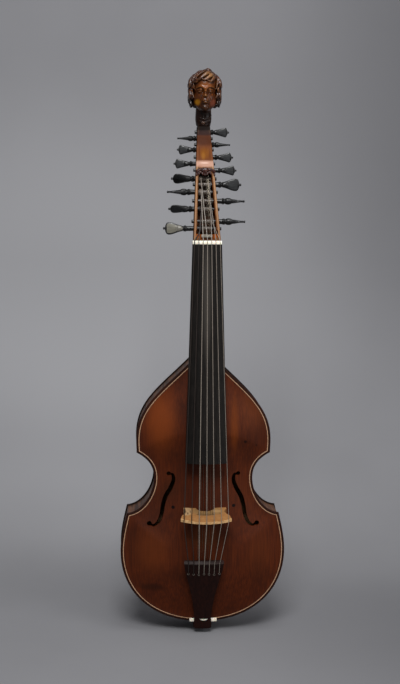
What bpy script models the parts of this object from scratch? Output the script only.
"""A viola d'amore with seven bowed strings above seven sympathetic ones.

Units are metres. +Z runs up the instrument, the belly faces -Y and the treble side is +X.
The origin is the middle of the end button's flat end, halfway through the ribs' height.
"""

import math

import bmesh
import bpy
import numpy as np
from mathutils import Vector
from mathutils.bvhtree import BVHTree
from mathutils.geometry import interpolate_bezier

# Clearance between pieces that touch, and round the pegs
GAP = 0.0003

# Body: the outline is half widths, and heights above the lowest edge of the plates
BUTTON_LENGTH = 0.0137
BODY_LENGTH = 0.3713
NECK_ROOT_HALF_WIDTH = 0.0190
UPPER_BOUT_HALF_WIDTH = 0.0942
UPPER_BOUT_HEIGHT = 0.2603
UPPER_CORNER_HALF_WIDTH = 0.0936
UPPER_CORNER_HEIGHT = 0.2433
WAIST_HALF_WIDTH = 0.0691
WAIST_HEIGHT = 0.2073
LOWER_CORNER_HALF_WIDTH = 0.1070
LOWER_CORNER_HEIGHT = 0.1573
LOWER_BOUT_HALF_WIDTH = 0.1158
LOWER_BOUT_HEIGHT = 0.1033
SHOULDER_REACH = 0.0424
SHOULDER_FULLNESS = 0.0480
UPPER_WAIST_LEAD = (0.0161, 0.0085)
UPPER_WAIST_SWEEP = 0.0170
LOWER_WAIST_SWEEP = 0.0210
LOWER_WAIST_LEAD = (0.0230, 0.0015)
LOWER_CORNER_LEAD = (0.0030, 0.0130)
LOWER_BOUT_RISE = 0.0200
LOWER_BOUT_DROP = 0.0610
LOWER_BOUT_FLAT = 0.0700

# Ribs and what is glued to them
RIB_HEIGHT = 0.0480
RIB_THICKNESS = 0.0020
OVERHANG = 0.0020
LINING_THICKNESS = 0.0024
LINING_HEIGHT = 0.0060
NECK_BLOCK_LENGTH = 0.0320
TAIL_BLOCK_LENGTH = 0.0240
CORNER_BLOCK_SPAN = 2

# Plates
PLATE_EDGE = 0.0040
PLATE_MIDDLE = 0.0030
ARCH_HEIGHT = 0.0150
ARCH_EDGE = 0.0050
ARCH_REACH = 0.0750
HOLLOW_EDGE = 0.0130
SPINE_LOW = 0.0900
SPINE_TOP_MARGIN = 0.0813
NESTED_RINGS = (0.0, 0.07, 0.19, 0.37, 0.60, 0.84)

# Soundholes: centre line (half width from the middle, height) and half width of the slot
SOUNDHOLE_LINE = (
    ((0.0458, 0.2143), 0.0018),
    ((0.0425, 0.2118), 0.0026),
    ((0.0418, 0.2045), 0.0037),
    ((0.0450, 0.1935), 0.0047),
    ((0.0508, 0.1820), 0.0053),
    ((0.0548, 0.1690), 0.0048),
    ((0.0574, 0.1560), 0.0039),
    ((0.0620, 0.1460), 0.0031),
    ((0.0690, 0.1411), 0.0022),
    ((0.0728, 0.1420), 0.0018),
)
SOUNDHOLE_EYES = (((0.0487, 0.2143), 0.0030), ((0.0755, 0.1433), 0.0035))

# Bars inside the body, heights above the lowest edge of the plates
BASS_BAR_X = -0.0205
BASS_BAR_WIDTH = 0.0055
BASS_BAR_DEPTH = 0.0105
BASS_BAR_ENDS = (0.0650, 0.3150)
SOUND_POST_X = 0.0200
SOUND_POST_RADIUS = 0.0031
BACK_BARS = (("lower_back_bar", 0.0790, 0.0080, 0.0095), ("sound_post_plate", 0.1620, 0.0340, 0.0040),
             ("upper_back_bar", 0.2870, 0.0080, 0.0095))

# Neck, fingerboard and nut: a rise is how far a face stands in front of the belly's edge
NECK_LENGTH = 0.1679
NUT_LENGTH = 0.0052
NUT_RISE = 0.0010
NECK_SET_X = 0.0018
NECK_CANT = 0.0010
NECK_DEPTH = 0.0185
NECK_SIDE = 0.0035
HEEL_LENGTH = 0.0500
FINGERBOARD_OVERHANG = 0.1370
FINGERBOARD_NUT_WIDTH = 0.0405
FINGERBOARD_END_WIDTH = 0.0578
FINGERBOARD_RADIUS = 0.0600
FINGERBOARD_NUT_RISE = 0.0043
FINGERBOARD_END_RISE = 0.0398
FINGERBOARD_END_SIDE = 0.0050
GLUE_NUT_RISE = -0.0030
GLUE_HEEL_RISE = 0.0125
CHANNEL_WIDTH = 0.0190
CHANNEL_DEPTH = 0.0070

# Bridge: half of its outline as (distance from its middle, height above the belly)
BRIDGE_FOOT_HEIGHT = 0.1640
BRIDGE_HEIGHT = 0.0430
BRIDGE_LEAN = 0.0082
BRIDGE_FOOT_THICKNESS = 0.0072
BRIDGE_TOP_THICKNESS = 0.0026
BRIDGE_SIDE = ((0.0132, 0.0), (0.0172, 0.0), (0.0213, 0.0), (0.0254, 0.0), (0.0295, 0.0),
               (0.0300, 0.0030), (0.0272, 0.0075), (0.0264, 0.0125), (0.0290, 0.0175), (0.0330, 0.0225))
BRIDGE_HALF_WIDTH = 0.0350
BRIDGE_FOOT_ARCH = ((0.0112, 0.0050), (0.0070, 0.0092))
BRIDGE_ARCH_TOP = 0.0104
BRIDGE_SLOT_HALF_WIDTH = 0.0125
BRIDGE_SLOT = (0.0165, 0.0218)

# Tailpiece: stations of height, half width, and rises of its crown and of its underside
TAILPIECE_STATIONS = (
    (0.1115, 0.0272, 0.0350, 0.0308),
    (0.1090, 0.0277, 0.0360, 0.0305),
    (0.1070, 0.0276, 0.0378, 0.0302),
    (0.1048, 0.0274, 0.0360, 0.0296),
    (0.0970, 0.0263, 0.0332, 0.0272),
    (0.0780, 0.0214, 0.0272, 0.0207),
    (0.0576, 0.0164, 0.0208, 0.0145),
    (0.0370, 0.0132, 0.0146, 0.0088),
    (0.0227, 0.0119, 0.0104, 0.0047),
    (0.0140, 0.0124, 0.0086, 0.0035),
    (0.0086, 0.0127, 0.0082, 0.0020),
    (0.0072, 0.0124, 0.0081, 0.0021),
    (0.0054, 0.0102, 0.0074, 0.0027),
)
TAILPIECE_CROWN = 0.0032
TAIL_RIDGE_Z = 0.1070
TAIL_HOLE_Z = 0.0925
TAIL_HOLE_RADIUS = 0.0015
TAIL_STRING_SPREAD = 0.0430
TAIL_OPENING_RADIUS = 0.0063
TAIL_OPENING_X = 0.0016
TAIL_OPENING_Z = 0.0205
TAIL_FOOT_Z = 0.0086
TAIL_FOOT_THICKNESS = 0.0044
TAIL_FOOT_HALF_WIDTH = 0.0127
TAIL_FOOT_RISE = 0.0045
HITCH_BAR_Z = 0.1030
HITCH_BAR_RISES = (0.0320, 0.0250)
HITCH_STRING_RISE = 0.0276

# Saddle and end button
SADDLE_X = 0.0012
SADDLE_HALF_WIDTH = 0.0193
SADDLE_LENGTH = 0.0050
SADDLE_RISE = 0.0030
BUTTON_RADIUS = 0.0128
BUTTON_FLAT_RADIUS = 0.0070
BUTTON_NECK_RADIUS = 0.0040
BUTTON_STEM = 0.0200

# Pegbox: widths and depths are outside sizes, heights are on its front face and above its base
PEGBOX_HEIGHT = 0.1588
PEGBOX_FRONT_RISE = -0.0010
PEGBOX_RING_HEIGHTS = (0.0228, 0.0768, 0.1368)
PEGBOX_TILT = math.radians(20.3)
PEGBOX_LEAN = -0.0026
PEGBOX_BASE_WIDTH = 0.0379
PEGBOX_TOP_WIDTH = 0.0178
PEGBOX_BASE_DEPTH = 0.0295
PEGBOX_TOP_DEPTH = 0.0235
PEGBOX_THROAT_DEPTH = 0.0215
CHEEK_BASE = 0.0043
CHEEK_TOP = 0.0034
PEGBOX_FLOOR = 0.0055
PEGBOX_PANEL = 0.0042
PEGBOX_EDGE = 0.0010
OPEN_FRONT_HEIGHTS = (0.0108, 0.0928)
OPEN_BACK_HEIGHTS = (0.1028, 0.1553)
PANEL_SCALLOP_RADIUS = 0.0036
PANEL_SCALLOP_SPACING = 0.0086
SECOND_NUT_HEIGHT = 0.0058
SECOND_NUT_RISE = -0.0087
SECOND_NUT_STEP_RISE = -0.0127
SECOND_NUT_HALF_WIDTH = 0.0076
SECOND_NUT_LENGTH = 0.0040
# The slope from behind the nut down into the hollow, as (rise, height above the base)
RAMP_FLARE = 0.0012
STRING_RAMP = ((-0.0028, 0.0030), (-0.0140, 0.0105))
STRING_RAMP_TOP = 0.0138

# Pegs: side, height above the pegbox's base, how far the tip stands from the middle, and the head's turn
PLAYING_PEGS = (
    ("peg_playing_1", -1, 0.0158, 0.0577, 0),
    ("peg_playing_2", -1, 0.0427, 0.0503, 52),
    ("peg_playing_3", -1, 0.0663, 0.0521, 90),
    ("peg_playing_4", -1, 0.0849, 0.0462, 40),
    ("peg_playing_5", 1, 0.0769, 0.0527, 0),
    ("peg_playing_6", 1, 0.0539, 0.0570, 90),
    ("peg_playing_7", 1, 0.0256, 0.0572, 90),
)
SYMPATHETIC_PEGS = (
    ("peg_sympathetic_1", -1, 0.1060, 0.0425, 0),
    ("peg_sympathetic_2", -1, 0.1259, 0.0377, 0),
    ("peg_sympathetic_3", -1, 0.1420, 0.0369, 90),
    ("peg_sympathetic_4", 1, 0.1510, 0.0370, 0),
    ("peg_sympathetic_5", 1, 0.1333, 0.0380, 90),
    ("peg_sympathetic_6", 1, 0.1154, 0.0420, 0),
    ("peg_sympathetic_7", 1, 0.0970, 0.0464, 0),
)
PEG_DEPTH = 0.0122
PEG_STUB = 0.0034
PEG_SIDES = 10
PEG_RING_LENGTH = 0.0032
PEG_RING_RISE = 0.0012
PLAYING_PEG_RADIUS = 0.0035
SYMPATHETIC_PEG_RADIUS = 0.0031
PEG_TAPER = 0.019
PEG_HEAD_LENGTH = 0.0285
PEG_HEAD_HALF_WIDTH = 0.0088
PEG_HEAD_HALF_THICKNESS = 0.0049
SYMPATHETIC_PEG_SCALE = 0.80
# Along the head: share of its length, of its half width and of its half thickness
PEG_HEAD_STATIONS = ((0.0, 0.34, 0.68), (0.13, 0.43, 1.0), (0.34, 0.62, 0.86), (0.58, 0.84, 0.62),
                     (0.76, 1.0, 0.46), (0.86, 0.90, 0.38), (0.905, 0.22, 0.30), (0.95, 0.26, 0.42),
                     (1.0, 0.10, 0.18))

# Strings: radius from the bass to the treble side, and the turns on each peg
STRING_COUNT = 7
PLAYING_RADII = (0.00065, 0.00060, 0.00055, 0.00050, 0.00045, 0.00040, 0.00035)
SYMPATHETIC_RADIUS = 0.00022
NUT_STRING_SPREAD = 0.0352
BRIDGE_STRING_SPREAD = 0.0615
SECOND_NUT_SPREAD = 0.0100
BRIDGE_SYMPATHETIC_SPREAD = 0.0195
HITCH_SPREAD = 0.0180
PLAYING_TURNS = (2.5, 2.5, 2.0, 1.5, 1.5, 2.5, 2.5)
SYMPATHETIC_TURNS = 2.0
TURN_POINTS = 9
WINDING_SPACE = 0.00048
PLAYING_CHEEK_SPACE = (0.0030, 0.0012, 0.0010, 0.0010, 0.0010, 0.0012, 0.0030)
SYMPATHETIC_CHEEK_SPACE = 0.0018

# Carved head
HEAD_WIDTH = 0.0480
HEAD_HEIGHT = 0.0645
HEAD_DEPTH = 0.0530
HEAD_RISE = 0.0820
HEAD_SETBACK = 0.0023
HEAD_NECK_HALF_WIDTH = 0.0108
HEAD_X = 0.0010
HEAD_RINGS = 22
HEAD_SEGMENTS = 28

BODY_BOTTOM = BUTTON_LENGTH
BODY_TOP = BODY_BOTTOM + BODY_LENGTH
RIB_FRONT = -RIB_HEIGHT / 2
RIB_BACK = RIB_HEIGHT / 2
EDGE_FRONT = RIB_FRONT - PLATE_EDGE
EDGE_BACK = RIB_BACK + PLATE_EDGE
BRIDGE_FOOT_Z = BODY_BOTTOM + BRIDGE_FOOT_HEIGHT
BRIDGE_Z = BRIDGE_FOOT_Z - BRIDGE_LEAN
NUT_Z = BODY_TOP + NECK_LENGTH
FINGERBOARD_END_Z = BODY_TOP - FINGERBOARD_OVERHANG
FINGERBOARD_NUT_Y = EDGE_FRONT - FINGERBOARD_NUT_RISE
FINGERBOARD_END_Y = EDGE_FRONT - FINGERBOARD_END_RISE
GLUE_NUT_Y = EDGE_FRONT - GLUE_NUT_RISE
GLUE_HEEL_Y = EDGE_FRONT - GLUE_HEEL_RISE
PEGBOX_BASE_Z = NUT_Z + GAP
PEGBOX_TOP_Z = PEGBOX_BASE_Z + PEGBOX_HEIGHT
PEGBOX_FRONT_Y = EDGE_FRONT - PEGBOX_FRONT_RISE
OPEN_FRONT = tuple(PEGBOX_BASE_Z + height for height in OPEN_FRONT_HEIGHTS)
OPEN_BACK = tuple(PEGBOX_BASE_Z + height for height in OPEN_BACK_HEIGHTS)
SECOND_NUT_Z = PEGBOX_BASE_Z + SECOND_NUT_HEIGHT
SECOND_NUT_Y = EDGE_FRONT - SECOND_NUT_RISE
SECOND_NUT_STEP_Y = EDGE_FRONT - SECOND_NUT_STEP_RISE

COLOURS = {
    "belly": ((0.105, 0.028, 0.010), 0.35, 0.0),
    "maple": ((0.150, 0.050, 0.018), 0.35, 0.0),
    "amber": ((0.330, 0.110, 0.030), 0.30, 0.0),
    "spruce": ((0.480, 0.330, 0.180), 0.60, 0.0),
    "ebony": ((0.012, 0.011, 0.010), 0.35, 0.0),
    "bridge_maple": ((0.430, 0.230, 0.100), 0.50, 0.0),
    "bone": ((0.800, 0.740, 0.600), 0.35, 0.0),
    "gut": ((0.420, 0.340, 0.260), 0.50, 0.0),
    "wire": ((0.450, 0.430, 0.400), 0.30, 1.0),
    "carving": ((0.060, 0.022, 0.010), 0.30, 0.0),
}


def clear_scene():
    """Remove the objects that the file opened with."""
    for obj in list(bpy.data.objects):
        bpy.data.objects.remove(obj)


def make_collection(name):
    """Make a collection in the scene."""
    collection = bpy.data.collections.new(name)
    bpy.context.scene.collection.children.link(collection)
    return collection


def make_material(name):
    """Make a Principled material from its colour, roughness and metallic value."""
    colour, roughness, metallic = COLOURS[name]
    material = bpy.data.materials.new(name)
    material.use_nodes = True
    shader = material.node_tree.nodes["Principled BSDF"]
    shader.inputs["Base Color"].default_value = (*colour, 1.0)
    shader.inputs["Roughness"].default_value = roughness
    shader.inputs["Metallic"].default_value = metallic
    return material


class Workshop:
    """The collections and the finishes that every piece shares."""

    def __init__(self):
        clear_scene()
        self.parts = make_collection("viola_damore")
        self.cutters = make_collection("cutters")

    def add(self, name, bm, finish, location=(0.0, 0.0, 0.0)):
        """Turn a closed bmesh into a named piece with its own material."""
        bmesh.ops.recalc_face_normals(bm, faces=bm.faces)
        mesh = bpy.data.meshes.new(name)
        bm.to_mesh(mesh)
        bm.free()
        mesh.shade_smooth()
        mesh.set_sharp_from_angle(angle=math.radians(35))
        obj = bpy.data.objects.new(name, mesh)
        obj.location = location
        material = make_material(finish)
        material.name = name
        mesh.materials.append(material)
        self.parts.objects.link(obj)
        return obj

    def cutter(self, name, bm):
        """Keep a closed bmesh as a helper that only cuts or joins."""
        bmesh.ops.recalc_face_normals(bm, faces=bm.faces)
        mesh = bpy.data.meshes.new(name)
        bm.to_mesh(mesh)
        bm.free()
        obj = bpy.data.objects.new(name, mesh)
        obj.hide_render = True
        obj.display_type = "WIRE"
        self.cutters.objects.link(obj)
        return obj

    def wire(self, name, points, radius, finish):
        """Run a round string through the points."""
        curve = bpy.data.curves.new(name, "CURVE")
        curve.dimensions = "3D"
        curve.bevel_depth = radius
        curve.bevel_resolution = 1
        curve.use_fill_caps = True
        spline = curve.splines.new("POLY")
        spline.points.add(len(points) - 1)
        for point, place in zip(spline.points, points):
            point.co = (*place, 1.0)
        obj = bpy.data.objects.new(name, curve)
        material = make_material(finish)
        material.name = name
        curve.materials.append(material)
        self.parts.objects.link(obj)
        return obj


def boolean(obj, tool, operation="DIFFERENCE"):
    """Cut or join a piece with a helper."""
    modifier = obj.modifiers.new(f"{operation.lower()}_{tool.name}", "BOOLEAN")
    modifier.operation = operation
    modifier.object = tool


def bevel(obj, width, segments=1):
    """Round the sharp edges of a piece."""
    modifier = obj.modifiers.new("rounding", "BEVEL")
    modifier.width = width
    modifier.segments = segments
    modifier.limit_method = "ANGLE"
    modifier.angle_limit = math.radians(35)


def loft(rings):
    """Skin closed rings of equal length in order, with both ends capped."""
    bm = bmesh.new()
    loops = [[bm.verts.new(point) for point in ring] for ring in rings]
    count = len(loops[0])
    for near, far in zip(loops, loops[1:]):
        for i in range(count):
            j = (i + 1) % count
            bm.faces.new((near[i], near[j], far[j], far[i]))
    bm.faces.new(loops[0])
    bm.faces.new(list(reversed(loops[-1])))
    return bm


def prism(outline, y_low, y_high):
    """Raise a closed (x, z) outline into a solid between two depths."""
    return loft([[(x, y, z) for x, z in outline] for y in (y_low, y_high)])


def block(low, high):
    """A box between two corners, from the cube primitive."""
    bm = bmesh.new()
    bmesh.ops.create_cube(bm, size=1.0)
    size = Vector(high) - Vector(low)
    middle = (Vector(high) + Vector(low)) / 2
    for vert in bm.verts:
        vert.co = Vector((vert.co.x * size.x, vert.co.y * size.y, vert.co.z * size.z)) + middle
    return bm


def round_bar(start, end, radius_start, radius_end, sides):
    """A straight bar whose flats, not its corners, stand at the radius."""
    axis = (Vector(end) - Vector(start)).normalized()
    side = axis.orthogonal().normalized()
    other = axis.cross(side)
    rings = []
    for place, radius in ((start, radius_start), (end, radius_end)):
        reach = radius / math.cos(math.pi / sides)
        ring = []
        for i in range(sides):
            turn = 2 * math.pi * i / sides
            ring.append(Vector(place) + reach * (math.cos(turn) * side + math.sin(turn) * other))
        rings.append(ring)
    return loft(rings)


def smooth_line(points, steps):
    """A smooth curve through rows of numbers, with steps between each pair."""
    rows = np.array(points, dtype=float)
    padded = np.vstack([2 * rows[0] - rows[1], rows, 2 * rows[-1] - rows[-2]])
    curve = []
    for a, b, c, d in zip(padded, padded[1:], padded[2:], padded[3:]):
        for t in np.arange(steps) / steps:
            curve.append(0.5 * (2 * b + (c - a) * t + (2 * a - 5 * b + 4 * c - d) * t ** 2
                                + (3 * b - a - 3 * c + d) * t ** 3))
    curve.append(rows[-1])
    return np.array(curve)


def bezier(start, lead, trail, end, segments):
    """Points after the start of a cubic curve, the end included."""
    knots = [Vector((x, z, 0.0)) for x, z in (start, lead, trail, end)]
    curve = interpolate_bezier(*knots, segments + 1)
    return [(point.x, point.y) for point in curve[1:]]


class Outline:
    """The edge of the plates, from the top centre down the treble side and up the other."""

    def __init__(self):
        def at(x, height):
            return (x, BODY_BOTTOM + height)

        root = at(NECK_ROOT_HALF_WIDTH, BODY_LENGTH)
        widest_up = at(UPPER_BOUT_HALF_WIDTH, UPPER_BOUT_HEIGHT)
        corner_up = at(UPPER_CORNER_HALF_WIDTH, UPPER_CORNER_HEIGHT)
        waist = at(WAIST_HALF_WIDTH, WAIST_HEIGHT)
        corner_low = at(LOWER_CORNER_HALF_WIDTH, LOWER_CORNER_HEIGHT)
        widest_low = at(LOWER_BOUT_HALF_WIDTH, LOWER_BOUT_HEIGHT)
        tail = at(0.0, 0.0)
        half = [at(0.0, BODY_LENGTH), root]
        half += bezier(root, (root[0] + SHOULDER_REACH, root[1] - SHOULDER_REACH),
                       (widest_up[0], widest_up[1] + SHOULDER_FULLNESS), widest_up, 9)
        half += bezier(widest_up, (widest_up[0], widest_up[1] - 0.006),
                       (corner_up[0], corner_up[1] + 0.006), corner_up, 2)
        self.upper_corner = len(half) - 1
        half += bezier(corner_up, (corner_up[0] - UPPER_WAIST_LEAD[0], corner_up[1] - UPPER_WAIST_LEAD[1]),
                       (waist[0], waist[1] + UPPER_WAIST_SWEEP), waist, 5)
        half += bezier(waist, (waist[0], waist[1] - LOWER_WAIST_SWEEP),
                       (corner_low[0] - LOWER_WAIST_LEAD[0], corner_low[1] + LOWER_WAIST_LEAD[1]),
                       corner_low, 7)
        self.lower_corner = len(half) - 1
        half += bezier(corner_low, (corner_low[0] + LOWER_CORNER_LEAD[0], corner_low[1] - LOWER_CORNER_LEAD[1]),
                       (widest_low[0], widest_low[1] + LOWER_BOUT_RISE), widest_low, 5)
        half += bezier(widest_low, (widest_low[0], widest_low[1] - LOWER_BOUT_DROP),
                       (LOWER_BOUT_FLAT, tail[1]), tail, 12)
        self.half_count = len(half)
        self.ring = np.array(half + [(-x, z) for x, z in reversed(half[1:-1])])

    def overhang(self, index):
        """How far the plate stands beyond the ribs: nearly flush under the heel."""
        return GAP if min(index, len(self.ring) - index) <= 1 else OVERHANG

    def inset(self, extra):
        """The outline drawn in by the overhang and an extra distance, corners mitred."""
        before = np.roll(self.ring, 1, axis=0)
        after = np.roll(self.ring, -1, axis=0)
        first = self.ring - before
        second = after - self.ring
        first /= np.linalg.norm(first, axis=1)[:, None]
        second /= np.linalg.norm(second, axis=1)[:, None]
        first = np.stack([first[:, 1], -first[:, 0]], axis=1)
        second = np.stack([second[:, 1], -second[:, 0]], axis=1)
        middle = first + second
        middle /= np.linalg.norm(middle, axis=1)[:, None]
        stretch = (middle * first).sum(axis=1)
        distance = np.array([self.overhang(i) + extra for i in range(len(self.ring))])
        return self.ring + middle * (distance / stretch)[:, None]

    def mirror_index(self, index):
        """The index of the same place on the bass side."""
        return (len(self.ring) - index) % len(self.ring)

    def half_width(self, height, extra):
        """Half the inner width at a height, from the inset outline."""
        half = self.inset(extra)[:self.half_count][::-1]
        return float(np.interp(height, half[:, 1], half[:, 0]))

    def edge_distance(self, x, z):
        """How far a point of the plate lies from the plate's edge."""
        point = np.array((x, z))
        ends = np.roll(self.ring, -1, axis=0)
        along = ends - self.ring
        share = ((point - self.ring) * along).sum(axis=1) / (along ** 2).sum(axis=1)
        nearest = self.ring + along * np.clip(share, 0, 1)[:, None]
        return float(np.linalg.norm(nearest - point, axis=1).min())


def swell(distance, start):
    """Rise of the arching from 0 near the edge to 1 in the middle of the plate."""
    share = min(max((distance - start) / (ARCH_REACH - start), 0.0), 1.0)
    return (share * share * (3 - 2 * share)) ** 0.75


def belly_front(outline, x, z):
    """The belly's outer face, which bulges towards the viewer."""
    return EDGE_FRONT - ARCH_HEIGHT * swell(outline.edge_distance(x, z), ARCH_EDGE)


def belly_back(outline, x, z):
    """The belly's inner face, flat where the ribs and blocks are glued to it."""
    rise = ARCH_HEIGHT + PLATE_EDGE - PLATE_MIDDLE
    return RIB_FRONT - rise * swell(outline.edge_distance(x, z), HOLLOW_EDGE)


def arched_plate(outline):
    """Both faces of the belly as rings nested between its edge and its middle line."""
    bm = bmesh.new()
    count = len(outline.ring)
    low = BODY_BOTTOM + SPINE_LOW
    high = BODY_TOP - SPINE_TOP_MARGIN
    rims = []
    for surface in (belly_front, belly_back):
        rings = []
        for share in NESTED_RINGS:
            ring = []
            for x, z in outline.ring:
                inner_z = min(max(z, low), high)
                px, pz = x * (1 - share), z + (inner_z - z) * share
                ring.append(bm.verts.new((px, surface(outline, px, pz), pz)))
            rings.append(ring)
        for near, far in zip(rings, rings[1:]):
            for i in range(count):
                j = (i + 1) % count
                bm.faces.new((near[i], near[j], far[j], far[i]))
        last = rings[-1]
        bm.faces.new((last[0], last[1], last[-1]))
        for i in range(1, outline.half_count - 2):
            bm.faces.new((last[i], last[i + 1], last[-i - 1], last[-i]))
        tail = outline.half_count - 1
        bm.faces.new((last[tail - 1], last[tail], last[tail + 1]))
        rims.append(rings[0])
    for i in range(count):
        j = (i + 1) % count
        bm.faces.new((rims[0][i], rims[0][j], rims[1][j], rims[1][i]))
    return bm


def soundhole_outline(side):
    """The slot of one soundhole: both sides of its centre line."""
    rows = [(x, BODY_BOTTOM + z, half) for (x, z), half in SOUNDHOLE_LINE]
    line = smooth_line(rows, 2)
    along = np.gradient(line[:, :2], axis=0)
    along /= np.linalg.norm(along, axis=1)[:, None]
    normal = np.stack([along[:, 1], -along[:, 0]], axis=1)
    right = line[:, :2] + normal * line[:, 2:]
    left = line[:, :2] - normal * line[:, 2:]
    return [(side * x, z) for x, z in np.vstack([right, left[::-1]])]


def make_belly(shop, outline):
    """The arched top plate with its soundholes and the notch for the saddle."""
    belly = shop.add("belly", arched_plate(outline), "belly")
    deep = (EDGE_FRONT - ARCH_HEIGHT - 0.01, RIB_FRONT + 0.01)
    for side, name in ((-1, "bass"), (1, "treble")):
        boolean(belly, shop.cutter(f"soundhole_{name}", prism(soundhole_outline(side), *deep)))
        for number, ((x, z), radius) in enumerate(SOUNDHOLE_EYES, start=1):
            middle = (side * x, BODY_BOTTOM + z)
            eye = round_bar((middle[0], deep[0], middle[1]), (middle[0], deep[1], middle[1]),
                            radius, radius, 12)
            boolean(belly, shop.cutter(f"soundhole_eye_{name}_{number}", eye))
    notch = block((SADDLE_X - SADDLE_HALF_WIDTH - GAP, deep[0], BODY_BOTTOM - 0.005),
                  (SADDLE_X + SADDLE_HALF_WIDTH + GAP, deep[1], BODY_BOTTOM + SADDLE_LENGTH + GAP))
    boolean(belly, shop.cutter("saddle_notch", notch))
    return belly


def make_back(shop, outline):
    """The flat back."""
    back = shop.add("back", prism(outline.ring, RIB_BACK, EDGE_BACK), "maple")
    bevel(back, 0.0008)
    return back


def rib_strip(outline, first, last, outer, inner, y_low, y_high):
    """A strip bent along part of the outline, its ends drawn in by half a gap."""
    outside = outline.inset(outer)
    inside = outline.inset(inner)
    count = len(outline.ring)
    indexes = [i % count for i in range(first, last + 1)]
    rings = []
    for i in indexes:
        pair = [outside[i].copy(), inside[i].copy()]
        for position, neighbour in ((indexes[0], indexes[1]), (indexes[-1], indexes[-2])):
            if i == position:
                for edge, path in enumerate((outside, inside)):
                    along = path[neighbour] - path[i]
                    pair[edge] += along / np.linalg.norm(along) * GAP * 0.6
        (ax, az), (bx, bz) = pair
        rings.append([(ax, y_low, az), (ax, y_high, az), (bx, y_high, bz), (bx, y_low, bz)])
    return loft(rings)


def make_ribs(shop, outline, button_hole):
    """Six ribs, each with its two linings glued along it between the blocks."""
    count = len(outline.ring)
    tail = outline.half_count - 1
    span = CORNER_BLOCK_SPAN
    up, low = outline.upper_corner, outline.lower_corner
    bouts = (("upper", 0, up, 3, up - span), ("waist", up, low, up + span, low - span),
             ("lower", low, tail, low + span, tail - 3))
    for bout, first, last, lining_first, lining_last in bouts:
        for side in ("treble", "bass"):
            ends = [(first, last), (lining_first, lining_last)]
            if side == "bass":
                ends = [(count - b, count - a) for a, b in ends]
            strip = rib_strip(outline, *ends[0], 0.0, RIB_THICKNESS, RIB_FRONT + GAP, RIB_BACK - GAP)
            rib = shop.add(f"rib_{bout}_{side}", strip, "maple")
            edges = ((RIB_FRONT + 2 * GAP, RIB_FRONT + LINING_HEIGHT),
                     (RIB_BACK - LINING_HEIGHT, RIB_BACK - 2 * GAP))
            for place, (y_low, y_high) in zip(("front", "back"), edges):
                lining = rib_strip(outline, *ends[1], RIB_THICKNESS * 0.9,
                                   RIB_THICKNESS + LINING_THICKNESS, y_low, y_high)
                boolean(rib, shop.cutter(f"lining_{place}_{bout}_{side}", lining), "UNION")
            if bout == "lower":
                boolean(rib, button_hole)


def make_blocks(shop, outline, button_hole):
    """The corner blocks, and the blocks that take the neck and the end button."""
    count = len(outline.ring)
    inner = outline.inset(RIB_THICKNESS + GAP)
    depths = (RIB_FRONT + GAP, RIB_BACK - GAP)
    corners = (("upper", outline.upper_corner), ("lower", outline.lower_corner))
    for name, corner in corners:
        for side, middle in (("treble", corner), ("bass", outline.mirror_index(corner))):
            span = range(middle - CORNER_BLOCK_SPAN, middle + CORNER_BLOCK_SPAN + 1)
            shop.add(f"corner_block_{name}_{side}", prism([inner[i % count] for i in span], *depths),
                     "spruce")
    top = [inner[i % count] for i in range(-2, 3)]
    base = BODY_TOP - NECK_BLOCK_LENGTH
    top += [(top[-1][0], base), (top[0][0], base)]
    shop.add("neck_block", prism(top, *depths), "spruce")
    tail = outline.half_count - 1
    bottom = [inner[i] for i in range(tail - 2, tail + 3)]
    base = BODY_BOTTOM + TAIL_BLOCK_LENGTH
    bottom += [(bottom[-1][0], base), (bottom[0][0], base)]
    tail_block = shop.add("tail_block", prism(bottom, *depths), "spruce")
    boolean(tail_block, button_hole)


def surface_y(obj, x, z, from_front=True):
    """Where a straight line along the depth first meets a finished piece."""
    tree = BVHTree.FromObject(obj, bpy.context.evaluated_depsgraph_get())
    start = -0.2 if from_front else 0.2
    hit = tree.ray_cast(Vector((x, start, z)), Vector((0, -math.copysign(1, start), 0)))
    return hit[0].y


class Belly:
    """Measures the two faces of the finished belly."""

    def __init__(self, obj):
        self.tree = BVHTree.FromObject(obj, bpy.context.evaluated_depsgraph_get())

    def front(self, x, z):
        """Depth of the outer face."""
        return self.tree.ray_cast(Vector((x, -0.2, z)), Vector((0, 1, 0)))[0].y

    def back(self, x, z):
        """Depth of the inner face."""
        return self.tree.ray_cast(Vector((x, 0.0, z)), Vector((0, -1, 0)))[0].y


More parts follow.
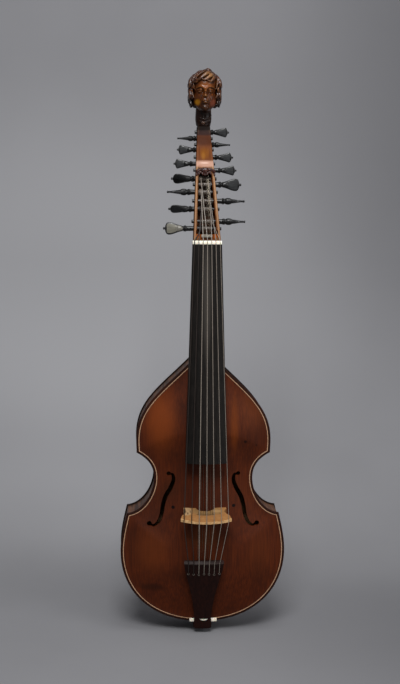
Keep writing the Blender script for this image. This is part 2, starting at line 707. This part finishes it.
def make_inner_bars(shop, outline, belly):
    """The bass bar, the bars of the back and the sound post between belly and back."""
    low, high = BASS_BAR_ENDS
    rings = []
    for share in np.linspace(0, 1, 17):
        z = BODY_BOTTOM + low + (high - low) * share
        depth = 0.0035 + (BASS_BAR_DEPTH - 0.0035) * math.sin(math.pi * share) ** 0.7
        left, right = BASS_BAR_X - BASS_BAR_WIDTH / 2, BASS_BAR_X + BASS_BAR_WIDTH / 2
        fronts = [belly.back(x, z) + 2 * GAP for x in (left, right)]
        rings.append([(left, fronts[0], z), (right, fronts[1], z),
                      (right, max(fronts) + depth, z), (left, max(fronts) + depth, z)])
    shop.add("bass_bar", loft(rings), "spruce")
    for name, height, length, depth in BACK_BARS:
        z = BODY_BOTTOM + height
        reach = min(outline.half_width(z + step * length / 2, RIB_THICKNESS + LINING_THICKNESS + GAP)
                    for step in (-1, 0, 1)) - 0.001
        rings = []
        for x, share in ((-reach, 0.35), (-reach + 0.02, 1.0), (reach - 0.02, 1.0), (reach, 0.35)):
            front = RIB_BACK - GAP - depth * share
            rings.append([(x, front, z - length / 2), (x, front, z + length / 2),
                          (x, RIB_BACK - GAP, z + length / 2), (x, RIB_BACK - GAP, z - length / 2)])
        shop.add(name, loft(rings), "spruce")
    post_z = BRIDGE_FOOT_Z - 0.012
    around = [(SOUND_POST_X + SOUND_POST_RADIUS * dx, post_z + SOUND_POST_RADIUS * dz)
              for dx, dz in ((1, 0), (-1, 0), (0, 1), (0, -1))]
    front = max(belly.back(x, z) for x, z in around) + GAP
    seat = RIB_BACK - GAP - BACK_BARS[1][3] - GAP
    post = round_bar((SOUND_POST_X, front, post_z), (SOUND_POST_X, seat, post_z),
                     SOUND_POST_RADIUS, SOUND_POST_RADIUS, 12)
    shop.add("sound_post", post, "spruce")


def centre_x(z):
    """The middle of the strings and the neck, which stand a shade to the treble side."""
    share = (z - BRIDGE_Z) / (NUT_Z - BRIDGE_Z)
    return NECK_SET_X + NECK_CANT * share


def line_between(z, low_z, low_y, high_z, high_y):
    """Depth at a height on the straight line between two points."""
    return low_y + (high_y - low_y) * (z - low_z) / (high_z - low_z)


def glue_y(z):
    """The neck's front face, on which the fingerboard is glued."""
    return line_between(z, BODY_TOP, GLUE_HEEL_Y, NUT_Z, GLUE_NUT_Y)


def board_half_width(z):
    """Half the fingerboard's width at a height."""
    return line_between(z, FINGERBOARD_END_Z, FINGERBOARD_END_WIDTH, NUT_Z, FINGERBOARD_NUT_WIDTH) / 2


def board_crown(z):
    """Depth of the fingerboard's middle line."""
    return line_between(z, FINGERBOARD_END_Z, FINGERBOARD_END_Y, NUT_Z, FINGERBOARD_NUT_Y)


def crown_ring(z, half, crown, radius, base, points=7):
    """A section with an arched front and a flat back, from one side to the other."""
    middle = centre_x(z)
    ring = []
    for share in np.linspace(-1, 1, points):
        x = half * share
        ring.append((middle + x, crown + radius - math.sqrt(radius ** 2 - x ** 2), z))
    ring.append((middle + half, base, z))
    ring.append((middle - half, base, z))
    return ring


def make_fingerboard(shop):
    """The fingerboard: a wedge on the neck that runs on free above the belly."""
    free_end = FINGERBOARD_END_Z
    edge = board_half_width(free_end)
    end_side = board_crown(free_end) + FINGERBOARD_RADIUS - math.sqrt(FINGERBOARD_RADIUS ** 2 - edge ** 2)
    under = end_side + FINGERBOARD_END_SIDE
    rings = []
    for z in (free_end, (free_end + BODY_TOP) / 2, BODY_TOP, (BODY_TOP + NUT_Z) / 2, NUT_Z - NUT_LENGTH - GAP):
        base = glue_y(z) - GAP
        if z < BODY_TOP:
            base = line_between(z, free_end, under, BODY_TOP, glue_y(BODY_TOP) - GAP)
        rings.append(crown_ring(z, board_half_width(z), board_crown(z), FINGERBOARD_RADIUS, base))
    board = shop.add("fingerboard", loft(rings), "ebony")
    return board


def make_nut(shop):
    """The nut, arched like the fingerboard and a little higher."""
    rings = []
    for z, rise in ((NUT_Z - NUT_LENGTH, NUT_RISE * 0.7), (NUT_Z - NUT_LENGTH * 0.6, NUT_RISE),
                    (NUT_Z - NUT_LENGTH * 0.2, NUT_RISE * 0.8), (NUT_Z, 0.0)):
        rings.append(crown_ring(z, board_half_width(z), board_crown(z) - rise, FINGERBOARD_RADIUS,
                                glue_y(z) - GAP))
    return shop.add("nut", loft(rings), "bone")


def make_neck(shop):
    """The neck and heel, with the channel that the sympathetic strings run through."""
    start = BODY_TOP + GAP
    stations = [(start, EDGE_BACK), (start + 0.006, EDGE_BACK - 0.004), (start + 0.014, 0.0125),
                (start + 0.024, 0.0010), (start + 0.036, -0.0065)]
    rings = []
    for z in (start + HEEL_LENGTH, (start + HEEL_LENGTH + NUT_Z) / 2, NUT_Z):
        stations.append((z, glue_y(z) + NECK_DEPTH))
    for z, back in stations:
        front = glue_y(z)
        half = board_half_width(z) - 0.0004
        narrow = half if z > start + HEEL_LENGTH - 0.001 else half - 0.0015
        depth = back - front - NECK_SIDE
        ring = [(centre_x(z) - half, front, z), (centre_x(z) + half, front, z)]
        for turn in np.linspace(0, math.pi, 9):
            ring.append((centre_x(z) + narrow * math.cos(turn),
                         front + NECK_SIDE + depth * math.sin(turn), z))
        rings.append(ring)
    neck = shop.add("neck", loft(rings), "maple")
    channel = []
    for z in (start - 0.01, NUT_Z + 0.01):
        floor = glue_y(z) + CHANNEL_DEPTH
        half = CHANNEL_WIDTH / 2
        middle = centre_x(z)
        channel.append([(middle - half, glue_y(z) - 0.01, z), (middle + half, glue_y(z) - 0.01, z),
                        (middle + half, floor, z), (middle - half, floor, z)])
    boolean(neck, shop.cutter("string_channel", loft(channel)))
    return neck


def bridge_height_at(x):
    """Height of the bridge's curved top edge above its feet."""
    return BRIDGE_HEIGHT - x ** 2 / (2 * FINGERBOARD_RADIUS)


def make_bridge(shop, belly):
    """The bridge: feet cut to the belly, a slot for the sympathetic strings, a slight lean."""
    half = list(BRIDGE_SIDE)
    for x in np.linspace(BRIDGE_HALF_WIDTH, 0, 7):
        half.append((x, bridge_height_at(x)))
    right = [*half]
    left = [(-x, h) for x, h in reversed(half[:-1])]
    arch = [(-x, h) for x, h in BRIDGE_FOOT_ARCH] + [(0.0, BRIDGE_ARCH_TOP)]
    arch += [(x, h) for x, h in reversed(BRIDGE_FOOT_ARCH)]
    profile = right + left + arch
    middle = centre_x(BRIDGE_Z)
    foot = belly.front(middle + 0.021, BRIDGE_FOOT_Z)
    faces = []
    for side in (-1, 1):
        ring = []
        for x, height in profile:
            share = height / BRIDGE_HEIGHT
            thick = BRIDGE_FOOT_THICKNESS + (BRIDGE_TOP_THICKNESS - BRIDGE_FOOT_THICKNESS) * share
            z = BRIDGE_FOOT_Z - BRIDGE_LEAN * share + side * thick / 2
            y = foot - height
            if height == 0.0:
                y = belly.front(middle + x, z) - 1.5 * GAP
            ring.append((middle + x, y, z))
        faces.append(ring)
    bridge = shop.add("bridge", loft(faces), "bridge_maple")
    slot = block((middle - BRIDGE_SLOT_HALF_WIDTH, foot - BRIDGE_SLOT[1], BRIDGE_FOOT_Z - 0.03),
                 (middle + BRIDGE_SLOT_HALF_WIDTH, foot - BRIDGE_SLOT[0], BRIDGE_FOOT_Z + 0.03))
    boolean(bridge, shop.cutter("bridge_slot", slot))
    return foot


def tail_section(z, half, crown_rise, under_rise):
    """One section of the tailpiece, crowned in front and flat behind."""
    crown, under = EDGE_FRONT - crown_rise, EDGE_FRONT - under_rise
    ring = []
    for share in np.linspace(-1, 1, 7):
        ring.append((half * share, crown + TAILPIECE_CROWN * (half / 0.0277) * share ** 2, z))
    ring.append((half * 0.9, under, z))
    ring.append((-half * 0.9, under, z))
    return ring


def tail_string_x(number):
    """Where a bowed string leaves the tailpiece."""
    return TAIL_STRING_SPREAD * (number / (STRING_COUNT - 1) - 0.5)


def make_tailpiece(shop, button_hole):
    """The tailpiece, whose foot turns under the body and is held by the end button."""
    body = shop.add("tailpiece", loft([tail_section(*row) for row in TAILPIECE_STATIONS]), "ebony")
    tongue = []
    front = EDGE_FRONT - TAIL_FOOT_RISE
    for turn in np.linspace(0, math.pi, 9):
        tongue.append((TAIL_FOOT_HALF_WIDTH * 0.85 * math.cos(turn), 0.009 * math.sin(turn)))
    tongue = [(TAIL_FOOT_HALF_WIDTH, front)] + tongue + [(-TAIL_FOOT_HALF_WIDTH, front)]
    foot = loft([[(x, y, z) for x, y in tongue] for z in (TAIL_FOOT_Z, TAIL_FOOT_Z + TAIL_FOOT_THICKNESS)])
    boolean(body, shop.cutter("tail_foot", foot), "UNION")
    near, far = (EDGE_FRONT - rise for rise in HITCH_BAR_RISES)
    hitch = block((-0.0115, near, HITCH_BAR_Z - 0.002), (0.0115, far, HITCH_BAR_Z + 0.002))
    boolean(body, shop.cutter("hitch_bar", hitch), "UNION")
    boolean(body, button_hole)
    for number in range(STRING_COUNT):
        x = tail_string_x(number)
        hole = round_bar((x, near - 0.015, TAIL_HOLE_Z), (x, near + 0.020, TAIL_HOLE_Z), TAIL_HOLE_RADIUS,
                         TAIL_HOLE_RADIUS, 8)
        boolean(body, shop.cutter(f"tail_hole_{number + 1}", hole))
    opening = []
    for turn in np.linspace(math.pi, 2 * math.pi, 9):
        opening.append((TAIL_OPENING_X + TAIL_OPENING_RADIUS * math.cos(turn),
                        TAIL_OPENING_Z + 0.85 * TAIL_OPENING_RADIUS * math.sin(turn)))
    boolean(body, shop.cutter("tail_opening", prism(opening, EDGE_FRONT - 0.017, EDGE_FRONT - 0.0005)))
    return body


def make_saddle(shop):
    """The saddle, a strip of bone let into the belly's lower edge."""
    bm = block((SADDLE_X - SADDLE_HALF_WIDTH, EDGE_FRONT - SADDLE_RISE, BODY_BOTTOM + GAP),
               (SADDLE_X + SADDLE_HALF_WIDTH, RIB_FRONT, BODY_BOTTOM + SADDLE_LENGTH))
    saddle = shop.add("saddle", bm, "bone")
    bevel(saddle, 0.0008, 2)


def make_end_button(shop):
    """The end button, turned, with its stem in the tail block."""
    profile = ((0.0, BODY_BOTTOM + BUTTON_STEM), (BUTTON_NECK_RADIUS * 0.9, BODY_BOTTOM + BUTTON_STEM),
               (BUTTON_NECK_RADIUS, BODY_BOTTOM), (BUTTON_NECK_RADIUS, 0.0083), (0.0105, 0.0081),
               (BUTTON_RADIUS, 0.0056), (0.0122, 0.0024), (0.0096, 0.0006), (BUTTON_FLAT_RADIUS, 0.0),
               (0.0, 0.0))
    bm = bmesh.new()
    verts = [bm.verts.new((radius, 0.0, z)) for radius, z in profile]
    for a, b in zip(verts, verts[1:]):
        bm.edges.new((a, b))
    mesh = bpy.data.meshes.new("end_button")
    bm.to_mesh(mesh)
    bm.free()
    obj = bpy.data.objects.new("end_button", mesh)
    material = make_material("ebony")
    material.name = "end_button"
    mesh.materials.append(material)
    shop.parts.objects.link(obj)
    screw = obj.modifiers.new("turning", "SCREW")
    screw.steps = 20
    screw.render_steps = 20
    screw.use_merge_vertices = True
    screw.merge_threshold = 0.00001
    screw.use_smooth_shade = True


def pegbox_front_y(z):
    """Depth of the pegbox's front face at a height on it."""
    return PEGBOX_FRONT_Y + math.tan(PEGBOX_TILT) * (z - PEGBOX_BASE_Z)


def pegbox_x(z):
    """The pegbox's middle, which leans slightly to the bass side."""
    return centre_x(NUT_Z) + PEGBOX_LEAN * (z - PEGBOX_BASE_Z) / (PEGBOX_TOP_Z - PEGBOX_BASE_Z)


def pegbox_share(z):
    """Share of the pegbox's length at a height on its front face."""
    return (z - PEGBOX_BASE_Z) / (PEGBOX_TOP_Z - PEGBOX_BASE_Z)


def pegbox_half_width(z):
    """Half the pegbox's outside width."""
    return (PEGBOX_BASE_WIDTH + (PEGBOX_TOP_WIDTH - PEGBOX_BASE_WIDTH) * pegbox_share(z)) / 2


def pegbox_half_inside(z):
    """Half the width between the cheeks."""
    return pegbox_half_width(z) - CHEEK_BASE - (CHEEK_TOP - CHEEK_BASE) * pegbox_share(z)


def pegbox_depth(z):
    """The pegbox's depth, square to its front face."""
    return PEGBOX_BASE_DEPTH + (PEGBOX_TOP_DEPTH - PEGBOX_BASE_DEPTH) * pegbox_share(z)


def pegbox_point(z, depth):
    """(y, z) of the place a depth behind the front face at a height on that face."""
    return (pegbox_front_y(z) + depth * math.cos(PEGBOX_TILT), z - depth * math.sin(PEGBOX_TILT))


def chamfered(middle, half, front, back):
    """A section with its four corners taken off, from front and back as (y, z)."""
    front, back = Vector(front), Vector(back)
    step = (back - front).normalized() * PEGBOX_EDGE
    narrow = half - PEGBOX_EDGE
    ring = []
    for x, place in ((-narrow, front), (narrow, front), (half, front + step), (half, back - step),
                     (narrow, back), (-narrow, back), (-half, back - step), (-half, front + step)):
        ring.append((middle + x, *place))
    return ring


def pegbox_ring(z, depth):
    """A section across the pegbox, square to its front face."""
    return chamfered(pegbox_x(z), pegbox_half_width(z), pegbox_point(z, 0.0), pegbox_point(z, depth))


def flat_ring(z, depth):
    """A level section of the pegbox, for its two ends."""
    front = pegbox_front_y(z)
    return chamfered(pegbox_x(z), pegbox_half_width(z), (front, z), (front + depth, z))


def string_cavity():
    """The hollow between the cheeks: open in front below, open behind above."""
    low, front_end = OPEN_FRONT
    back_start, high = OPEN_BACK
    floor = [(z, pegbox_depth(z) - PEGBOX_FLOOR) for z in (low, back_start)]
    beyond = PEGBOX_TOP_DEPTH + 0.015
    tops = [high + depth * math.sin(PEGBOX_TILT) for depth in (PEGBOX_PANEL, beyond)]
    corners = [(low, -0.008), (front_end, -0.008), (front_end, PEGBOX_PANEL), (tops[0], PEGBOX_PANEL),
               (tops[1], beyond), (back_start, beyond), floor[1], floor[0]]
    rings = []
    for side in (-1, 1):
        ring = []
        for z, depth in corners:
            ring.append((pegbox_x(z) + side * pegbox_half_inside(z), *pegbox_point(z, depth)))
        rings.append(ring)
    return loft(rings)


def make_pegbox(shop, pegs):
    """The pegbox: open in front below, open behind above, with a way through between."""
    rings = [flat_ring(PEGBOX_BASE_Z, PEGBOX_THROAT_DEPTH)]
    rings.append(pegbox_ring(PEGBOX_BASE_Z + 0.0095, 0.0270))
    for height in PEGBOX_RING_HEIGHTS:
        z = PEGBOX_BASE_Z + height
        rings.append(pegbox_ring(z, pegbox_depth(z)))
    rings.append(flat_ring(PEGBOX_TOP_Z, PEGBOX_TOP_DEPTH / math.cos(PEGBOX_TILT)))
    pegbox = shop.add("pegbox", loft(rings), "amber")
    boolean(pegbox, shop.cutter("string_cavity", string_cavity()))
    middle = centre_x(NUT_Z)
    before = PEGBOX_FRONT_Y - 0.018
    mouth = block((middle - CHANNEL_WIDTH / 2, before, PEGBOX_BASE_Z - 0.004),
                  (middle + CHANNEL_WIDTH / 2, SECOND_NUT_STEP_Y, OPEN_FRONT[0] + 0.001))
    boolean(pegbox, shop.cutter("string_mouth", mouth))
    (ramp_y, ramp_z), (ramp_end_y, ramp_end_z) = [(EDGE_FRONT - rise, PEGBOX_BASE_Z + height)
                                                  for rise, height in STRING_RAMP]
    top = PEGBOX_BASE_Z + STRING_RAMP_TOP
    half = pegbox_half_inside(ramp_end_z) + RAMP_FLARE
    outline = [(before, ramp_z), (ramp_y, ramp_z), (ramp_end_y, ramp_end_z), (ramp_end_y, top), (before, top)]
    ramp = loft([[(pegbox_x(ramp_end_z) + side * half, y, z) for y, z in outline] for side in (-1, 1)])
    boolean(pegbox, shop.cutter("string_ramp", ramp))
    scallop_z = OPEN_FRONT[1]
    for side in (-1, 1):
        x = pegbox_x(scallop_z) + side * PANEL_SCALLOP_SPACING / 2
        start = (x, pegbox_front_y(scallop_z) - 0.010, scallop_z)
        end = (x, pegbox_front_y(scallop_z) + PEGBOX_PANEL + 0.002, scallop_z)
        lobe = round_bar(start, end, PANEL_SCALLOP_RADIUS, PANEL_SCALLOP_RADIUS, 10)
        boolean(pegbox, shop.cutter(f"panel_scallop_{'left' if side < 0 else 'right'}", lobe))
    for peg in pegs:
        boolean(pegbox, shop.cutter(f"hole_{peg.name}", peg.hole()))
    return pegbox


def make_second_nut(shop):
    """The small nut of the sympathetic strings, on the step below the pegbox's mouth."""
    middle = centre_x(NUT_Z)
    half = SECOND_NUT_LENGTH / 2
    bm = block((middle - SECOND_NUT_HALF_WIDTH, SECOND_NUT_Y, SECOND_NUT_Z - half),
               (middle + SECOND_NUT_HALF_WIDTH, SECOND_NUT_STEP_Y - GAP, SECOND_NUT_Z + half))
    shop.add("second_nut", bm, "bone")


class Peg:
    """One tuning peg: a tapered shaft across the pegbox and a flat fan-shaped head."""

    def __init__(self, row, radius, scale):
        self.name, self.side, height, self.tip, self.turn = row
        self.z = PEGBOX_BASE_Z + height
        self.radius = radius
        self.scale = scale
        front_z = self.z + PEG_DEPTH * math.sin(PEGBOX_TILT)
        self.y = pegbox_front_y(front_z) + PEG_DEPTH * math.cos(PEGBOX_TILT)
        self.x = pegbox_x(front_z)
        self.half_inside = pegbox_half_inside(front_z)
        self.half_outside = pegbox_half_width(front_z)
        self.tip_reach = self.tip - self.side * self.x
        self.head_start = self.tip_reach - PEG_HEAD_LENGTH * scale
        self.ring_start = self.head_start - PEG_RING_LENGTH * scale

    def shaft_radius(self, reach):
        """Radius of the shaft at a distance out from the pegbox's middle."""
        return self.radius - PEG_TAPER * (self.ring_start - reach)

    def section(self, reach, half_width, half_thickness):
        """An oval section across the peg."""
        ring = []
        for i in range(PEG_SIDES):
            turn = 2 * math.pi * i / PEG_SIDES
            ring.append((self.side * reach, half_thickness * math.sin(turn), half_width * math.cos(turn)))
        return ring

    def make(self, shop):
        """Build the peg with its origin on its own axis."""
        far = -self.half_outside - PEG_STUB
        stations = [(far, self.shaft_radius(far) * 0.8, self.shaft_radius(far) * 0.8)]
        for reach in (far + 0.0006, self.ring_start):
            stations.append((reach, self.shaft_radius(reach), self.shaft_radius(reach)))
        wide = self.radius + PEG_RING_RISE * self.scale
        ring_end = self.head_start
        stations.append((self.ring_start + 0.0003, wide, wide))
        stations.append((ring_end - 0.0005, wide, wide))
        length = self.tip_reach - self.head_start
        for along, width, thickness in PEG_HEAD_STATIONS:
            stations.append((self.head_start + along * length, width * PEG_HEAD_HALF_WIDTH * self.scale,
                             thickness * PEG_HEAD_HALF_THICKNESS * self.scale))
        rings = [self.section(*station) for station in stations]
        obj = shop.add(self.name, loft(rings), "ebony", (self.x, self.y, self.z))
        obj.rotation_euler = (math.radians(self.turn), 0.0, 0.0)
        return obj

    def hole(self):
        """The cutter of the two holes, wider than the shaft by the gap."""
        ends = []
        for reach in (-self.half_outside - 0.002, self.half_outside + 0.002):
            ends.append(((self.x + self.side * reach, self.y, self.z), self.shaft_radius(reach) + GAP))
        (start, first), (end, second) = ends
        return round_bar(start, end, first, second, 12)

    def winding(self, approach, radius, turns, cheek_space):
        """Points of a string from its first touch on the shaft to its last turn."""
        pitch = 2 * radius + WINDING_SPACE
        outer = self.half_inside - cheek_space - radius
        inner = outer - pitch * turns
        round_radius = (self.shaft_radius(inner) + GAP + radius) / math.cos(math.pi / TURN_POINTS)
        reach = Vector((approach[1] - self.y, approach[2] - self.z))
        incoming = math.atan2(reach.y, -reach.x)
        first = incoming + math.acos(round_radius / reach.length)
        points = []
        steps = int(round(turns * TURN_POINTS))
        for i in range(steps + 1):
            turn = first + 2 * math.pi * turns * i / steps
            across = inner + pitch * turns * i / steps
            points.append((self.x + self.side * across, self.y - round_radius * math.cos(turn),
                           self.z + round_radius * math.sin(turn)))
        return points


def spread_x(middle, spread, number):
    """Place of one of the evenly spaced strings."""
    return middle + spread * (number / (STRING_COUNT - 1) - 0.5)


def least_winding_gap(points, radius):
    """Least distance between the surfaces of neighbouring turns, measured on the points."""
    coil = np.array(points)
    least = math.inf
    for i in range(len(coil)):
        for j in range(i + TURN_POINTS - 2, len(coil)):
            least = min(least, float(np.linalg.norm(coil[i] - coil[j])) - 2 * radius)
    return least


def make_playing_strings(shop, pegs, foot, tailpiece):
    """Seven bowed strings: tailpiece, bridge, nut, peg."""
    tail_tree = Belly(tailpiece)
    gaps = []
    for number, (peg, radius) in enumerate(zip(pegs, PLAYING_RADII)):
        tail_x = tail_string_x(number)
        lift = radius + GAP
        hole_y = tail_tree.front(tail_x + 0.0022, TAIL_HOLE_Z)
        ridge_y = tail_tree.front(tail_x, TAIL_RIDGE_Z) - lift - 0.0001
        bridge_x = spread_x(centre_x(BRIDGE_Z), BRIDGE_STRING_SPREAD, number)
        bridge_z = BRIDGE_FOOT_Z - BRIDGE_LEAN
        across = bridge_x - centre_x(BRIDGE_Z)
        bridge_y = foot - bridge_height_at(across) - lift - BRIDGE_TOP_THICKNESS * 0.2
        points = [(tail_x, hole_y + 0.0035, TAIL_HOLE_Z), (tail_x, hole_y - lift - 0.0004, TAIL_HOLE_Z + 0.0003),
                  (tail_x, ridge_y, TAIL_RIDGE_Z), (bridge_x, bridge_y, bridge_z)]
        for z in (NUT_Z - NUT_LENGTH * 0.6, NUT_Z):
            x = spread_x(centre_x(NUT_Z), NUT_STRING_SPREAD, number)
            off = x - centre_x(NUT_Z)
            crown = FINGERBOARD_RADIUS - math.sqrt(FINGERBOARD_RADIUS ** 2 - off ** 2)
            points.append((x, board_crown(z) - NUT_RISE + crown - lift, z))
        coil = peg.winding(points[-1], radius, PLAYING_TURNS[number], PLAYING_CHEEK_SPACE[number])
        gaps.append(least_winding_gap(coil, radius))
        shop.wire(f"playing_string_{number + 1}", points + coil, radius, "gut")
    return gaps


def make_sympathetic_strings(shop, pegs, foot):
    """Seven thin strings under the others: hitch bar, bridge slot, second nut, peg."""
    gaps = []
    radius = SYMPATHETIC_RADIUS
    for number, peg in enumerate(pegs):
        slot_y = foot - BRIDGE_SLOT[0] - radius - GAP
        slot_z = BRIDGE_FOOT_Z - BRIDGE_LEAN * BRIDGE_SLOT[0] / BRIDGE_HEIGHT
        points = [
            (spread_x(0.0, HITCH_SPREAD, number), EDGE_FRONT - HITCH_STRING_RISE, HITCH_BAR_Z + 0.002 + GAP),
            (spread_x(centre_x(BRIDGE_Z), BRIDGE_SYMPATHETIC_SPREAD, number), slot_y, slot_z),
            (spread_x(centre_x(NUT_Z), SECOND_NUT_SPREAD, number), SECOND_NUT_Y - radius - GAP,
             SECOND_NUT_Z + SECOND_NUT_LENGTH / 2),
        ]
        coil = peg.winding(points[-1], radius, SYMPATHETIC_TURNS, SYMPATHETIC_CHEEK_SPACE)
        gaps.append(least_winding_gap(coil, radius))
        shop.wire(f"sympathetic_string_{number + 1}", points + coil, radius, "wire")
    return gaps


def bump(x, z, at_x, at_z, wide, tall):
    """A smooth hill of height 1 at a place on the face."""
    return math.exp(-((x - at_x) / wide) ** 2 - ((z - at_z) / tall) ** 2)


def head_surface(direction):
    """A point of the carved head in a direction from its middle, features and curls included."""
    across, deep, up = direction
    half = Vector((HEAD_WIDTH, HEAD_DEPTH, HEAD_HEIGHT)) / 2
    jaw = 1 - 0.30 * max(0.0, -up - 0.15) ** 1.3
    x, y, z = across * half.x * jaw, deep * half.y * jaw, up * half.z
    front = max(0.0, -deep)
    face = front ** 2 if up < 0.45 else 0.0
    y -= face * 0.0052 * bump(x, z, 0, -0.0045, 0.0036, 0.0062)
    y += face * 0.0030 * (bump(x, z, -0.0086, 0.0005, 0.0044, 0.0036) + bump(x, z, 0.0086, 0.0005, 0.0044, 0.0036))
    y -= face * 0.0014 * (bump(x, z, -0.0105, -0.0115, 0.0065, 0.0070) + bump(x, z, 0.0105, -0.0115, 0.0065, 0.0070))
    y -= face * 0.0018 * bump(x, z, 0, -0.0160, 0.0060, 0.0022)
    y -= face * 0.0020 * bump(x, z, 0, -0.0252, 0.0065, 0.0040)
    hair = max(0.0, min(1.0, (up - 0.28 + 1.3 * max(0.0, deep + 0.55)) * 4))
    if up < -0.75:
        hair = 0.0
    curls = 0.5 + 0.5 * math.sin(9 * math.atan2(across, -deep)) * math.sin(8 * up + 1.0)
    swelling = 1 + hair * (0.02 + 0.055 * curls)
    return Vector((x * swelling, y * swelling, z * (1 + hair * 0.01 * curls)))


def make_head(shop):
    """The carved head on its short neck: a plain child's face below short curls."""
    front = pegbox_front_y(PEGBOX_TOP_Z)
    top = PEGBOX_TOP_Z + HEAD_RISE
    middle = Vector((pegbox_x(PEGBOX_TOP_Z) + HEAD_X, front + HEAD_SETBACK, top - HEAD_HEIGHT * 0.507))
    bm = bmesh.new()
    bmesh.ops.create_uvsphere(bm, u_segments=HEAD_SEGMENTS, v_segments=HEAD_RINGS, radius=1.0)
    for vert in bm.verts:
        vert.co = middle + head_surface(vert.co.normalized())
    head = shop.add("carved_head", bm, "carving")
    stations = ((GAP, 0.81, 0.0005, 0.0235), (0.0055, 0.91, -0.0010, 0.0240), (0.0105, 1.0, -0.0005, 0.0240),
                (0.0170, 0.95, 0.0010, 0.0225), (0.0300, 0.95, 0.0020, 0.0200))
    rings = []
    for height, share, near, far in stations:
        ring = []
        for i in range(14):
            turn = 2 * math.pi * i / 14
            x = middle.x + share * HEAD_NECK_HALF_WIDTH * math.cos(turn)
            y = front + (near + far) / 2 + (far - near) / 2 * math.sin(turn)
            ring.append((x, y, PEGBOX_TOP_Z + height))
        rings.append(ring)
    boolean(head, shop.cutter("head_neck", loft(rings)), "UNION")


def main():
    """Build every piece of the instrument."""
    shop = Workshop()
    outline = Outline()
    button_hole = shop.cutter("button_hole", round_bar(
        (0, 0, TAIL_FOOT_Z - 0.001), (0, 0, BODY_BOTTOM + BUTTON_STEM + GAP),
        BUTTON_NECK_RADIUS + GAP, BUTTON_NECK_RADIUS + GAP, 16))
    belly_obj = make_belly(shop, outline)
    make_back(shop, outline)
    make_ribs(shop, outline, button_hole)
    make_blocks(shop, outline, button_hole)
    bpy.context.view_layer.update()
    belly = Belly(belly_obj)
    make_inner_bars(shop, outline, belly)
    make_neck(shop)
    make_fingerboard(shop)
    make_nut(shop)
    foot = make_bridge(shop, belly)
    tailpiece = make_tailpiece(shop, button_hole)
    make_saddle(shop)
    make_end_button(shop)
    playing = [Peg(row, PLAYING_PEG_RADIUS, 1.0) for row in PLAYING_PEGS]
    sympathetic = [Peg(row, SYMPATHETIC_PEG_RADIUS, SYMPATHETIC_PEG_SCALE) for row in SYMPATHETIC_PEGS]
    make_pegbox(shop, playing + sympathetic)
    make_second_nut(shop)
    for peg in playing + sympathetic:
        peg.make(shop)
    bpy.context.view_layer.update()
    gaps = make_playing_strings(shop, playing, foot, tailpiece)
    gaps += make_sympathetic_strings(shop, sympathetic, foot)
    make_head(shop)
    print(f"least gap between the turns of a winding: {min(gaps) * 1000:.2f} mm")


main()
